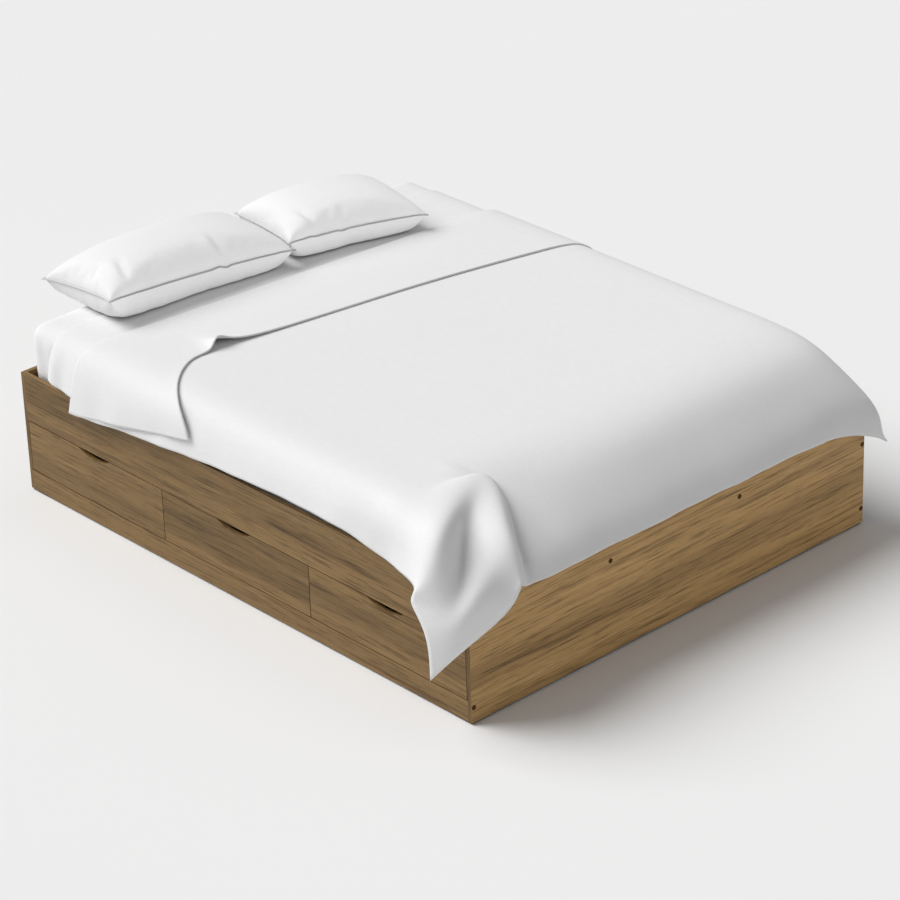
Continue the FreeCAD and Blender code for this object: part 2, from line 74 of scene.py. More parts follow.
class Material:
    """A node material under construction: add() makes a node, link() joins two sockets."""

    def __init__(self, name):
        self.material = bpy.data.materials.new(name)
        self.material.use_nodes = True
        self.tree = self.material.node_tree
        self.tree.nodes.clear()
        self.shader = self.add("ShaderNodeBsdfPrincipled")
        output = self.add("ShaderNodeOutputMaterial")
        self.link(self.shader, "BSDF", output, "Surface")
        self.place = self.add("ShaderNodeTexCoord")

    def add(self, kind, inputs=None, **settings):
        node = self.tree.nodes.new(kind)
        for name, value in settings.items():
            setattr(node, name, value)
        for socket, value in (inputs or {}).items():
            node.inputs[socket].default_value = value
        return node

    def link(self, source, output, target, socket):
        self.tree.links.new(source.outputs[output], target.inputs[socket])

    def set(self, **values):
        for name, value in values.items():
            self.shader.inputs[name.replace("_", " ")].default_value = value

    def stretched(self, scale, offset=(0, 0, 0)):
        """Object coordinates in metres, moved by offset and multiplied by scale."""
        mapping = self.add("ShaderNodeMapping", {"Location": offset, "Scale": scale})
        self.link(self.place, "Object", mapping, "Vector")
        return mapping

    def noise(self, vector, socket, scale, detail=3.0, roughness=0.5, distortion=0.0):
        inputs = {"Scale": scale, "Detail": detail, "Roughness": roughness, "Distortion": distortion}
        node = self.add("ShaderNodeTexNoise", inputs)
        self.link(vector, socket, node, "Vector")
        return node

    def ramp(self, source, output, stops):
        """A colour ramp: stops are (position, linear colour)."""
        node = self.add("ShaderNodeValToRGB")
        elements = node.color_ramp.elements
        while len(elements) < len(stops):
            elements.new(0.5)
        for element, (position, colour) in zip(elements, stops):
            element.position = position
            element.color = (*colour, 1)
        self.link(source, output, node, "Fac")
        return node

    def mix(self, kind, factor, first, second):
        """Mixes two colours; factor is a number, or a node and its output."""
        node = self.add("ShaderNodeMix", data_type="RGBA", blend_type=kind)
        if isinstance(factor, tuple):
            self.tree.links.new(factor[0].outputs[factor[1]], node.inputs[0])
        else:
            node.inputs[0].default_value = factor
        for socket, value in ((6, first), (7, second)):
            if isinstance(value, tuple) and hasattr(value[0], "outputs"):
                self.tree.links.new(value[0].outputs[value[1]], node.inputs[socket])
            else:
                node.inputs[socket].default_value = (*value, 1)
        return node

    def bump(self, source, output, strength, distance, under=None):
        node = self.add("ShaderNodeBump", {"Strength": strength, "Distance": distance})
        self.link(source, output, node, "Height")
        if under:
            self.link(under, "Normal", node, "Normal")
        return node


def shaded(colour, factor):
    return tuple(channel * factor for channel in colour)


def laminate(name, grain, offset, tone=1.0):
    """Oak-effect laminate whose grain runs along one axis, with upright grain on the cut ends."""
    made = Material(name)
    along = {"X": (1.0, 40.0, 40.0), "Y": (40.0, 1.0, 40.0)}[grain]
    upright = (40.0, 40.0, 1.0)
    board = made.stretched(along, offset)
    ends = made.stretched(upright, offset)
    facing = made.add("ShaderNodeSeparateXYZ")
    made.link(made.place, "Normal", facing, "Vector")
    size = made.add("ShaderNodeMath", operation="ABSOLUTE")
    made.link(facing, grain, size, "Value")
    is_end = made.add("ShaderNodeMath", {1: 0.5}, operation="GREATER_THAN")
    made.link(size, "Value", is_end, 0)
    space = made.mix("MIX", (is_end, "Value"), (board, "Vector"), (ends, "Vector"))
    # Broad bands, then streaks, then fine dark lines and pores.
    bands = made.noise(space, 2, 0.25, detail=2.0, distortion=0.3)
    streaks = made.noise(space, 2, 1.2, detail=6.0, roughness=0.68, distortion=0.3)
    lines = made.noise(space, 2, 6.0, detail=3.0, roughness=0.62, distortion=0.1)
    pores = made.noise(space, 2, 20.0, detail=2.0, roughness=0.7)
    dark = shaded((0.118, 0.067, 0.024), tone)
    mid = shaded((0.236, 0.145, 0.058), tone)
    light = shaded((0.296, 0.194, 0.088), tone)
    base = made.ramp(streaks, "Fac", [(0.33, dark), (0.46, mid), (0.56, mid), (0.72, light)])
    band = made.ramp(bands, "Fac", [(0.36, (0.76, 0.75, 0.73)), (0.58, (1.08, 1.08, 1.07))])
    line_stops = [(0.37, (0.52, 0.49, 0.44)), (0.46, (1, 1, 1)), (0.66, (1.12, 1.11, 1.09))]
    line = made.ramp(lines, "Fac", line_stops)
    fleck = made.ramp(pores, "Fac", [(0.36, (0.70, 0.68, 0.64)), (0.48, (1, 1, 1))])
    banded = made.mix("MULTIPLY", 1.0, (base, "Color"), (band, "Color"))
    lined = made.mix("MULTIPLY", 1.0, (banded, 2), (line, "Color"))
    flecked = made.mix("MULTIPLY", 0.7, (lined, 2), (fleck, "Color"))
    made.link(flecked, 2, made.shader, "Base Color")
    sheen = made.add("ShaderNodeMapRange", {"To Min": 0.44, "To Max": 0.60})
    made.link(streaks, "Fac", sheen, "Value")
    made.link(sheen, "Result", made.shader, "Roughness")
    relief = made.bump(lines, "Fac", 0.25, 0.0005)
    made.link(relief, "Normal", made.shader, "Normal")
    made.set(Specular_IOR_Level=0.25)
    return made.material


def plain_wood(name, colour, grain, contrast, roughness):
    """Planed softwood or a pale printed board: even colour with fine lines along the grain."""
    made = Material(name)
    scale = {"X": (2.0, 38.0, 38.0), "Y": (38.0, 2.0, 38.0)}[grain]
    space = made.stretched(scale, (0.7, 1.3, 2.1))
    rings = made.noise(space, "Vector", 1.2, detail=5.0, roughness=0.6, distortion=1.2)
    low = shaded(colour, 1 - contrast)
    high = shaded(colour, 1 + contrast / 2)
    tint = made.ramp(rings, "Fac", [(0.32, low), (0.55, colour), (0.75, high)])
    made.link(tint, "Color", made.shader, "Base Color")
    fibres = made.noise(space, "Vector", 7.0, detail=2.0)
    relief = made.bump(fibres, "Fac", 0.2, 0.0004)
    made.link(relief, "Normal", made.shader, "Normal")
    made.set(Roughness=roughness)
    return made.material


def moulded(name, colour, roughness, gloss):
    """Moulded plastic with a fine spark-eroded texture."""
    made = Material(name)
    grain = made.noise(made.place, "Object", 900.0, detail=2.0)
    tint = made.ramp(grain, "Fac", [(0.3, shaded(colour, 0.8)), (0.7, shaded(colour, 1.25))])
    made.link(tint, "Color", made.shader, "Base Color")
    relief = made.bump(grain, "Fac", 0.3, 0.0003)
    made.link(relief, "Normal", made.shader, "Normal")
    made.set(Roughness=roughness, Specular_IOR_Level=gloss)
    return made.material


def zinc():
    """Zinc-plated steel, faintly clouded and brushed along its length."""
    made = Material("zinc_plate")
    clouds = made.noise(made.place, "Object", 60.0, detail=4.0)
    brushed = made.noise(made.stretched((40, 900, 900)), "Vector", 1.0, detail=2.0)
    tint = made.ramp(clouds, "Fac", [(0.3, (0.46, 0.47, 0.49)), (0.7, (0.66, 0.67, 0.68))])
    made.link(tint, "Color", made.shader, "Base Color")
    polish = made.add("ShaderNodeMapRange", {"To Min": 0.26, "To Max": 0.46})
    made.link(brushed, "Fac", polish, "Value")
    made.link(polish, "Result", made.shader, "Roughness")
    made.set(Metallic=1.0)
    return made.material


def cotton(name, colour, thread, sheen):
    """Plain-woven cotton: warp and weft bumps at thread pitch, over a faint unevenness of the cloth."""
    made = Material(name)
    crumple = made.noise(made.place, "Object", 9.0, detail=4.0, roughness=0.55)
    slub = made.noise(made.stretched((220, 30, 220)), "Vector", 1.0, detail=2.0)
    tint = made.ramp(slub, "Fac", [(0.35, shaded(colour, 0.975)), (0.65, colour)])
    made.link(tint, "Color", made.shader, "Base Color")
    soft = made.bump(crumple, "Fac", 0.10, 0.006)
    under = soft
    for direction in ("X", "Y", "Z"):
        yarn = made.add("ShaderNodeTexWave", {"Scale": 0.31 / thread, "Distortion": 0.4, "Detail": 1.0})
        yarn.wave_type = "BANDS"
        yarn.bands_direction = direction
        made.link(made.place, "Object", yarn, "Vector")
        under = made.bump(yarn, "Fac", 0.10, thread * 0.25, under)
    made.link(under, "Normal", made.shader, "Normal")
    made.set(Roughness=0.86, Sheen_Weight=sheen, Sheen_Roughness=0.4, Specular_IOR_Level=0.2)
    return made.material


def studio_floor():
    made = Material("floor_white")
    tone = made.noise(made.place, "Object", 0.6, detail=2.0)
    tint = made.ramp(tone, "Fac", [(0.0, (0.86, 0.86, 0.86)), (1.0, (0.88, 0.88, 0.88))])
    made.link(tint, "Color", made.shader, "Base Color")
    made.set(Roughness=0.9, Specular_IOR_Level=0.1)
    return made.material


def dress(node, material):
    """Gives a CAD node's object its finish."""
    slots = nodes[node].data.materials
    slots.clear()
    slots.append(material)


def dress_frame():
    laminates = {
        "head_panel": ("X", (0.0, 3.1, 0.4)),
        "foot_panel": ("X", (1.7, 0.9, 2.3)),
        "drawer_side_rail": ("Y", (2.6, 0.3, 5.2)),
        "drawer_side_plinth": ("Y", (4.4, 1.1, 1.9)),
        "far_side_panel": ("Y", (3.5, 2.2, 0.8)),
        "drawer_1_front": ("Y", (0.8, 4.6, 3.3)),
        "drawer_2_front": ("Y", (5.1, 2.7, 7.4)),
        "drawer_3_front": ("Y", (1.2, 6.3, 9.6)),
    }
    for node, (grain, offset) in laminates.items():
        dress(node, laminate(f"laminate_{node}", grain, offset))
    across = laminate("laminate_inner_across", "X", (0.2, 0.6, 1.4), 1.06)
    lengthwise = laminate("laminate_inner_along", "Y", (0.9, 0.1, 2.4), 1.06)
    for node in ("drawer_divider_1", "drawer_divider_2", "far_brace_1", "far_brace_2", "centre_board"):
        dress(node, across)
    for node in ("slat_beam_near", "slat_beam_far", "near_cleat", "far_cleat"):
        dress(node, lengthwise)
    pine = plain_wood("pine_slat", (0.60, 0.43, 0.25), "X", 0.28, 0.62)
    for node in nodes:
        if node.startswith("slat_") and node[-2:].isdigit():
            dress(node, pine)
    steel = zinc()
    board_sides = plain_wood("drawer_board_sides", (0.60, 0.55, 0.46), "X", 0.10, 0.50)
    board_back = plain_wood("drawer_board_back", (0.60, 0.55, 0.46), "Y", 0.10, 0.50)
    hardboard = plain_wood("drawer_hardboard", (0.52, 0.46, 0.36), "Y", 0.07, 0.45)
    for number in (1, 2, 3):
        dress(f"drawer_{number}_left_side", board_sides)
        dress(f"drawer_{number}_right_side", board_sides)
        dress(f"drawer_{number}_back", board_back)
        dress(f"drawer_{number}_bottom", hardboard)
        dress(f"drawer_{number}_cam_locks", steel)
        dress(f"drawer_{number}_runner_bars", steel)
    for node in ("slat_screws", "panel_screws", "runner_channels"):
        dress(node, steel)
    glides = moulded("glide_plastic", (0.010, 0.010, 0.011), 0.7, 0.15)
    for node in ("floor_pads", "centre_pad"):
        dress(node, glides)
    dress("screw_caps", moulded("cap_plastic", (0.040, 0.018, 0.005), 0.85, 0.08))


# ---------------------------------------------------------------- mesh tools

def mesh_object(name, points, faces, material):
    mesh = bpy.data.meshes.new(name)
    mesh.from_pydata([tuple(point) for point in points], [], faces)
    mesh.validate()
    mesh.materials.append(material)
    made = bpy.data.objects.new(name, mesh)
    scene.collection.objects.link(made)
    return made


def bake(made):
    """Replaces the mesh by what its modifiers make of it, and removes them."""
    graph = bpy.context.evaluated_depsgraph_get()
    baked = bpy.data.meshes.new_from_object(made.evaluated_get(graph))
    made.modifiers.clear()
    old = made.data
    made.data = baked
    bpy.data.meshes.remove(old)


def applied(made, kind, **settings):
    """Adds a modifier, sets it up and bakes its result into the mesh."""
    modifier = made.modifiers.new(kind.lower(), kind)
    for name, value in settings.items():
        setattr(modifier, name, value)
    bake(made)
    return made


def grid_faces(rows, columns):
    faces = []
    for row in range(rows - 1):
        for column in range(columns - 1):
            here = row * columns + column
            above = here + columns
            faces.append((here, here + 1, above + 1, above))
    return faces


def move_points(made, rule):
    """Moves each vertex to rule(its place, its normal)."""
    normals = [vertex.normal.copy() for vertex in made.data.vertices]
    for vertex, normal in zip(made.data.vertices, normals):
        vertex.co = rule(vertex.co.copy(), normal)
    made.data.update()


def smooth_step(value, low, high):
    share = min(max((value - low) / (high - low), 0.0), 1.0)
    return share * share * (3 - 2 * share)


def thicken(made, thickness):
    applied(made, "SOLIDIFY", thickness=thickness, offset=0.0)
    made.data.shade_smooth()
    return made


# ---------------------------------------------------------------- mattress

def soft_block(name, low, high, head_radius, foot_radius, edge_radius, material):
    """A padded block with rounded top and bottom edges, and corners rounded in plan."""
    half = (high - low) / 2
    middle = (high + low) / 2
    arc_steps = 10
    edge_steps = 8
    outline = []
    for quarter in range(4):
        sign_x = (1, -1, -1, 1)[quarter]
        sign_y = (1, 1, -1, -1)[quarter]
        radius = head_radius if sign_y > 0 else foot_radius
        centre = Vector((sign_x * (half.x - radius), sign_y * (half.y - radius), 0))
        for step in range(arc_steps + 1):
            angle = math.radians(90 * (quarter + step / arc_steps))
            outline.append((centre, radius, Vector((math.cos(angle), math.sin(angle), 0))))
    rings = []
    for step in range(2 * edge_steps + 2):
        upper = step > edge_steps
        turn = math.radians(90 * (step - (edge_steps + 1 if upper else edge_steps)) / edge_steps)
        inset = edge_radius * (1 - math.cos(turn))
        height = math.sin(turn) * edge_radius + (half.z - edge_radius) * (1 if upper else -1)
        rings.append([middle + centre + along * (radius - inset) + Vector((0, 0, height))
                      for centre, radius, along in outline])
    points = [point for ring in rings for point in ring]
    count = len(outline)
    faces = []
    for ring in range(len(rings) - 1):
        for index in range(count):
            after = (index + 1) % count
            faces.append((ring * count + index, ring * count + after,
                          (ring + 1) * count + after, (ring + 1) * count + index))
    faces.append(tuple(reversed(range(count))))
    faces.append(tuple(range((len(rings) - 1) * count, len(rings) * count)))
    return mesh_object(name, points, faces, material)


def build_mattress(material):
    made = soft_block(
        "fitted_mattress", MATTRESS_LOW, MATTRESS_HIGH,
        head_radius=0.045, foot_radius=0.30, edge_radius=0.06, material=material,
    )
    applied(made, "REMESH", mode="VOXEL", voxel_size=0.012)
    applied(made, "SMOOTH", factor=0.5, iterations=6)

    def cover(point, normal):
        """The cover's slight pulls: soft ripples round the sides, gathered at the corners."""
        corner = smooth_step(abs(point.x), 0.62, 0.80) * smooth_step(abs(point.y), 0.82, 1.0)
        ripple = noise.noise(Vector((point.x * 7, point.y * 7, point.z * 3))) * 0.004
        pleat = math.sin((point.x - point.y) * 95 + point.z * 9) * 0.0022 * corner
        side = smooth_step(1 - abs(normal.z), 0.3, 0.9)
        point += normal * ((ripple - 0.003) * side + pleat * side)
        # The foot end is lowered to stay under the spread, which is shaped to fall away early there.
        share = (point.z - MATTRESS_LOW.z) / (MATTRESS_HIGH.z - MATTRESS_LOW.z)
        point.z -= FOOT_DROP * smooth_step(-point.y, 0.66, 1.06) * share
        return point

    move_points(made, cover)
    made.data.shade_smooth()
    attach(made, "frame")
    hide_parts("mattress")


# ---------------------------------------------------------------- draped cloth

def side_skirt(side, y, hem, flare=0.0, top=SPREAD_TOP, out=0.0, hem_y=0.0):
    """Control points down one side of the bed, from the hem up to the inside of the top edge."""
    edge = EDGE_X + out
    return [
        (side * (edge + 0.042 + flare), y + hem_y, hem),
        (side * (edge + 0.034 + flare * 0.7), y + hem_y * 0.66, hem + 0.055),
        (side * (edge + 0.022 + flare * 0.4), y + hem_y * 0.33, min(hem + 0.115, top - 0.055)),
        (side * (edge - 0.010), y, top + 0.002),
        (side * (EDGE_X - 0.15), y, top),
    ]


def cage_surface(name, rows, levels, material):
    """A cloth surface from rows of control points, smoothed by subdivision."""
    columns = len(rows[0])
    points = [point for row in rows for point in row]
    made = mesh_object(name, points, grid_faces(len(rows), columns), material)
    return applied(
        made, "SUBSURF", levels=levels, render_levels=levels, boundary_smooth="PRESERVE_CORNERS"
    )


def clear_of_bed(gap):
    """A rule that keeps cloth outside the wooden frame, with a rounder path round its corners."""
    limit_x = FRAME_X + gap
    limit_y = FRAME_Y + gap
    corner = 0.02
    turn_radius = corner * math.sqrt(2) + gap

    def rule(point, normal):
        if point.z > FRAME_TOP + gap + 0.008:
            return point
        inside_x = limit_x - abs(point.x)
        inside_y = limit_y - abs(point.y)
        if inside_x > 0 and inside_y > 0:
            if inside_x < inside_y:
                point.x = math.copysign(limit_x, point.x)
            else:
                point.y = math.copysign(limit_y, point.y)
        out = Vector((abs(point.x) - FRAME_X + corner, abs(point.y) - FRAME_Y + corner))
        if out.x > 0 and out.y > 0 and out.length < turn_radius:
            out *= turn_radius / out.length
            point.x = math.copysign(FRAME_X - corner + out.x, point.x)
            point.y = math.copysign(FRAME_Y - corner + out.y, point.y)
        return point

    return rule


# Columns of control points between the two side skirts; they are close together at the cuff's kink.
CENTRE_X = (-0.575, -0.545, -0.522, -0.48, -0.39, -0.15, 0.15, 0.42)


def build_top_sheet(material):
    rows = []
    hems = [(0.855, 0.446, 0.0), (0.83, 0.440, 0.010), (0.79, 0.432, -0.004), (0.74, 0.428, 0.010),
            (0.66, 0.424, 0.0), (0.56, 0.424, 0.0), (0.47, 0.424, 0.0)]
    for y, hem, flare in hems:
        near = side_skirt(-1, y, hem, flare, top=SHEET_TOP, out=-0.008)
        far = side_skirt(1, y - 0.02, hem + 0.004, flare, top=SHEET_TOP, out=-0.008)
        rows.append(near + [(x, y, SHEET_TOP) for x in CENTRE_X] + far[::-1])
    made = cage_surface("top_sheet_cloth", rows, 3, material)
    move_points(made, clear_of_bed(0.004))
    thicken(made, 0.003)
    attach(made, "frame")
    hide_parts("top_sheet")
    return made


def fold_line(x):
    """Where the spread is turned back, a little askew across the bed."""
    return 0.70 - 0.0875 * (x + EDGE_X)


def cuff_rows():
    """The turned-down end of the spread, from its free hem back to the fold."""
    hem_near = [(-0.846, 0.150, 0.490), (-0.845, 0.160, 0.525), (-0.832, 0.205, 0.575),
                (-0.765, 0.300, CUFF_TOP + 0.004), (-0.640, 0.395, CUFF_TOP)]
    hem_middle = [(-0.575, 0.388, CUFF_TOP), (-0.545, 0.392, CUFF_TOP + 0.008),
                  (-0.522, 0.400, CUFF_TOP + 0.046), (-0.480, 0.390, CUFF_TOP + 0.014),
                  (-0.390, 0.368, CUFF_TOP + 0.002), (-0.150, 0.335, CUFF_TOP),
                  (0.150, 0.292, CUFF_TOP), (0.420, 0.243, CUFF_TOP)]
    hem_far = [(0.650, 0.190, CUFF_TOP), (0.790, 0.150, CUFF_TOP), (0.842, 0.130, 0.535),
               (0.852, 0.125, 0.480), (0.858, 0.120, 0.440)]
    first = hem_near + hem_middle + hem_far
    lifted = [0.0] * 6 + [0.002, 0.014, 0.006] + [0.0] * 9
    rows = [first]
    last = fold_row(CUFF_TOP - 0.002, 0.006, -0.035)
    for share in (0.12, 0.4, 0.75):
        row = []
        for start, end, lift in zip(first, last, lifted):
            base_z = min(start[2], CUFF_TOP) if start[2] > 0.59 else start[2]
            x = start[0] + (end[0] - start[0]) * share
            y = start[1] + (end[1] - start[1]) * share
            z = base_z + (end[2] - base_z) * share
            row.append((x, y, z + (lift if share < 0.2 else 0)))
        rows.append(row)
    rows.append(last)
    return rows


def fold_row(top, out, back):
    """One row of control points beside the fold: out is how far it stands off the layer below."""
    row = []
    near_hem = [(-0.838 - out, 0.752, 0.372), (-0.834 - out, 0.738, 0.445), (-0.822 - out, 0.722, 0.540)]
    far_hem = [(0.822 + out, 0.575, 0.540), (0.836 + out, 0.585, 0.470), (0.844 + out, 0.590, 0.420)]
    row += [(x, y + back, z) for x, y, z in near_hem]
    for x in (-(EDGE_X - 0.010 + out), -(EDGE_X - 0.15), *CENTRE_X, EDGE_X - 0.15, EDGE_X - 0.010 + out):
        row.append((x, fold_line(x) + back, top))
    row += [(x, y + back, z) for x, y, z in far_hem]
    return row


def body_rows():
    """The spread from the fold to the foot end of its flat top."""
    rows = []
    sides = [
        # y, near hem height, near flare, far hem height
        (0.45, 0.404, 0.000, 0.430),
        (0.15, 0.434, 0.000, 0.428),
        (-0.18, 0.453, 0.000, 0.424),
        (-0.42, 0.456, 0.002, 0.420),
        (-0.54, 0.456, 0.008, 0.420),
        (-0.64, 0.430, 0.000, 0.422),
    ]
    for y, near_hem, flare, far_hem in sides:
        near = side_skirt(-1, y, near_hem, flare)
        far = side_skirt(1, y, far_hem, 0.004)
        rows.append(near + [(x, y, SPREAD_TOP) for x in CENTRE_X] + far[::-1])
    return rows


def foot_rows():
    """The foot end with its two hanging corners; the near one is a pointed, folded flap."""
    top = SPREAD_TOP
    near = [
        [(-0.850, -0.780, 0.411), (-0.845, -0.780, 0.470), (-0.836, -0.775, 0.540),
         (-0.775, -0.770, top - 0.002), (-0.630, -0.740, top - 0.001)],
        [(-0.905, -0.899, 0.426), (-0.886, -0.930, 0.514), (-0.826, -0.930, 0.584),
         (-0.690, -0.857, top - 0.002), (-0.518, -0.780, top - 0.003)],
        [(-0.918, -0.897, 0.388), (-0.872, -0.988, 0.419), (-0.792, -0.962, 0.471), (-0.722, -0.924, 0.522),
         (-0.626, -0.970, 0.564)],
        [(-0.922, -0.954, 0.310), (-0.878, -1.024, 0.350), (-0.812, -1.053, 0.438), (-0.736, -1.042, 0.486),
         (-0.666, -1.056, 0.513)],
        [(-0.918, -0.963, 0.165), (-0.862, -1.040, 0.268), (-0.764, -1.070, 0.328), (-0.713, -1.098, 0.391),
         (-0.690, -1.104, 0.438)],
    ]
    middle = [
        [(-0.560, 0.589), (-0.530, 0.588), (-0.500, 0.588), (-0.460, 0.589), (-0.390, 0.590)],
        [(-0.532, 0.536), (-0.500, 0.538), (-0.460, 0.542), (-0.410, 0.547), (-0.340, 0.555)],
        [(-0.588, 0.482), (-0.548, 0.486), (-0.490, 0.484), (-0.430, 0.490), (-0.360, 0.496)],
        [(-0.624, 0.432), (-0.584, 0.434), (-0.525, 0.435), (-0.450, 0.436), (-0.370, 0.438)],
        [(-0.648, 0.394), (-0.606, 0.388), (-0.545, 0.386), (-0.470, 0.385), (-0.380, 0.385)],
    ]
    slope = [(-0.750, top - 0.004), (-0.868, 0.570), (-0.962, 0.502), (-1.037, 0.438), (-1.062, 0.385)]
    far = [
        [(0.640, -0.750, top - 0.004), (0.770, -0.745, top - 0.006), (0.828, -0.740, 0.556),
         (0.842, -0.735, 0.490), (0.848, -0.730, 0.425)],
        [(0.630, -0.872, 0.568), (0.742, -0.862, 0.570), (0.808, -0.852, 0.552), (0.846, -0.840, 0.484),
         (0.850, -0.820, 0.402)],
        [(0.620, -0.962, 0.500), (0.722, -0.964, 0.506), (0.812, -0.966, 0.488), (0.860, -0.954, 0.430),
         (0.862, -0.900, 0.368)],
        [(0.612, -1.038, 0.436), (0.712, -1.040, 0.436), (0.816, -1.060, 0.420), (0.876, -1.060, 0.370),
         (0.886, -0.985, 0.315)],
        [(0.606, -1.056, 0.376), (0.700, -1.050, 0.356), (0.768, -1.066, 0.338), (0.840, -1.072, 0.302),
         (0.906, -1.036, 0.256)],
    ]
    rows = []
    for near_part, bent, (y, z), far_part in zip(near, middle, slope, far):
        plain = [(x, y, z) for x in CENTRE_X[5:]]
        rows.append(near_part + [(x, y, height) for x, height in bent] + plain + far_part)
    return rows


def pulled_to(rows, first_row, last_column):
    """Moves control points out so that the smooth cloth passes through them in one corner of the cage."""
    target = np.array(rows)
    cage = target.copy()
    for _ in range(5):
        smooth = cage.copy()
        for axis in (0, 1):
            lines = np.swapaxes(smooth, 0, axis)
            lines[1:-1] = (lines[:-2] + 4 * lines[1:-1] + lines[2:]) / 6
        cage[first_row:, :last_column] += (target - smooth)[first_row:, :last_column]
    return [[tuple(point) for point in row] for row in cage.tolist()]


def skirt_waves(point, normal):
    """Soft waves in the hanging parts, growing from nothing at the top edge to the hem."""
    drop = smooth_step(SPREAD_TOP - point.z, 0.03, 0.20)
    if abs(point.x) < 0.60:
        along = point.x
    else:
        along = point.y + 0.7
    wave = math.sin(along * 17.0 + 0.8) * 0.6 + math.sin(along * 41.0 + 2.1) * 0.3
    wave += noise.noise(Vector((along * 6.0, 0.0, point.z * 3.0))) * 0.8
    quiet = 1 - smooth_step(abs(point.x), 0.60, 0.70) * smooth_step(-point.y, 0.70, 0.85)
    outward = Vector((normal.x, normal.y, 0))
    top_swell = noise.noise(Vector((point.x * 2.3, point.y * 2.3, 4.0))) * 0.0012
    return point + outward * wave * 0.0045 * drop * quiet + Vector((0, 0, top_swell * (1 - drop)))


def build_spread(material):
    """The bedspread with its turned-down end; the near corner below the hem is a piece of its own."""
    rows = cuff_rows()
    rows.append(fold_row((CUFF_TOP + SPREAD_TOP) / 2, 0.004, 0.012))
    rows.append(fold_row(SPREAD_TOP, 0.0, -0.035))
    rows += body_rows()
    foot = foot_rows()
    rows = pulled_to(rows + foot, len(rows), 6)
    whole = cage_surface("bedspread_cloth", rows, 3, material)
    move_points(whole, skirt_waves)
    move_points(whole, clear_of_bed(0.007))
    thicken(whole, 0.005)
    flap = split_corner(whole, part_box("bedspread_corner_near")[1].z, "bedspread_corner_flap")
    for piece in (whole, flap):
        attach(piece, "frame")
    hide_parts("bedspread", "bedspread_corner_far")
    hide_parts("bedspread_corner_near")
    return whole, flap


def in_near_corner(point):
    return point.x < -0.62 and point.y < -0.62


def split_corner(whole, seam, name):
    """Moves the near corner below the seam to a piece of its own; both keep the whole cloth's normals."""
    mesh = bmesh.new()
    mesh.from_mesh(whole.data)
    faces = [face for face in mesh.faces if in_near_corner(face.calc_center_median())]
    parts = set(faces)
    for face in faces:
        parts.update(face.edges)
        parts.update(face.verts)
    bmesh.ops.bisect_plane(mesh, geom=list(parts), plane_co=(0, 0, seam), plane_no=(0, 0, 1), dist=1e-6)
    mesh.normal_update()
    layer = mesh.verts.layers.float_vector.new("whole_normal")
    for vertex in mesh.verts:
        vertex[layer] = vertex.normal
    flap = bpy.data.objects.new(name, whole.data.copy())
    scene.collection.objects.link(flap)
    for piece, keep_flap in ((whole, False), (flap, True)):
        part = mesh.copy()
        doomed = []
        for face in part.faces:
            centre = face.calc_center_median()
            if (in_near_corner(centre) and centre.z < seam) != keep_flap:
                doomed.append(face)
        bmesh.ops.delete(part, geom=doomed, context="FACES")
        part.to_mesh(piece.data)
        part.free()
        normals = [tuple(entry.vector) for entry in piece.data.attributes["whole_normal"].data]
        piece.data.shade_smooth()
        piece.data.normals_split_custom_set_from_vertices(normals)
        piece.data.attributes.remove(piece.data.attributes["whole_normal"])
    mesh.free()
    return flap


# ---------------------------------------------------------------- pillows

def pillow_case(name, width, depth, material):
    """Two flat panels joined round the edge, ready to be blown up."""
    step = 0.014
    columns = round(width / step) + 1
    rows = round(depth / step) + 1
    points = []
    index = {}
    for layer, height in enumerate((0.006, -0.006)):
        for row in range(rows):
            for column in range(columns):
                on_edge = row in (0, rows - 1) or column in (0, columns - 1)
                key = (0 if on_edge else layer, row, column)
                if key in index:
                    continue
                index[key] = len(points)
                x = (column / (columns - 1) - 0.5) * width
                y = (row / (rows - 1) - 0.5) * depth
                points.append((x, y, 0.0 if on_edge else height))

    def at(layer, row, column):
        on_edge = row in (0, rows - 1) or column in (0, columns - 1)
        return index[(0 if on_edge else layer, row, column)]

    faces = []
    for layer in (0, 1):
        for row in range(rows - 1):
            for column in range(columns - 1):
                corners = [at(layer, row, column), at(layer, row, column + 1),
                           at(layer, row + 1, column + 1), at(layer, row + 1, column)]
                faces.append(tuple(corners if layer == 0 else reversed(corners)))
    ring = [at(0, 0, column) for column in range(columns)]
    ring += [at(0, row, columns - 1) for row in range(1, rows)]
    ring += [at(0, rows - 1, column) for column in range(columns - 2, -1, -1)]
    ring += [at(0, row, 0) for row in range(rows - 2, 0, -1)]
    return mesh_object(name, points, faces, material), ring


def blow_up(made, pressure, frames):
    """Cloth under pressure, without gravity; the result is applied to the mesh."""
    modifier = made.modifiers.new("cloth", "CLOTH")
    cloth = modifier.settings
    cloth.quality = 7
    cloth.mass = 0.25
    cloth.tension_stiffness = 18
    cloth.compression_stiffness = 18
    cloth.shear_stiffness = 8
    cloth.bending_stiffness = 0.35
    cloth.tension_damping = 12
    cloth.compression_damping = 12
    cloth.shear_damping = 8
    cloth.air_damping = 4
    cloth.use_pressure = True
    cloth.uniform_pressure_force = pressure
    cloth.effector_weights.gravity = 0
    modifier.collision_settings.use_collision = False
    modifier.point_cache.frame_start = 1
    modifier.point_cache.frame_end = frames
    for number in range(1, frames + 1):
        scene.frame_set(number)
    bake(made)
    scene.frame_set(1)


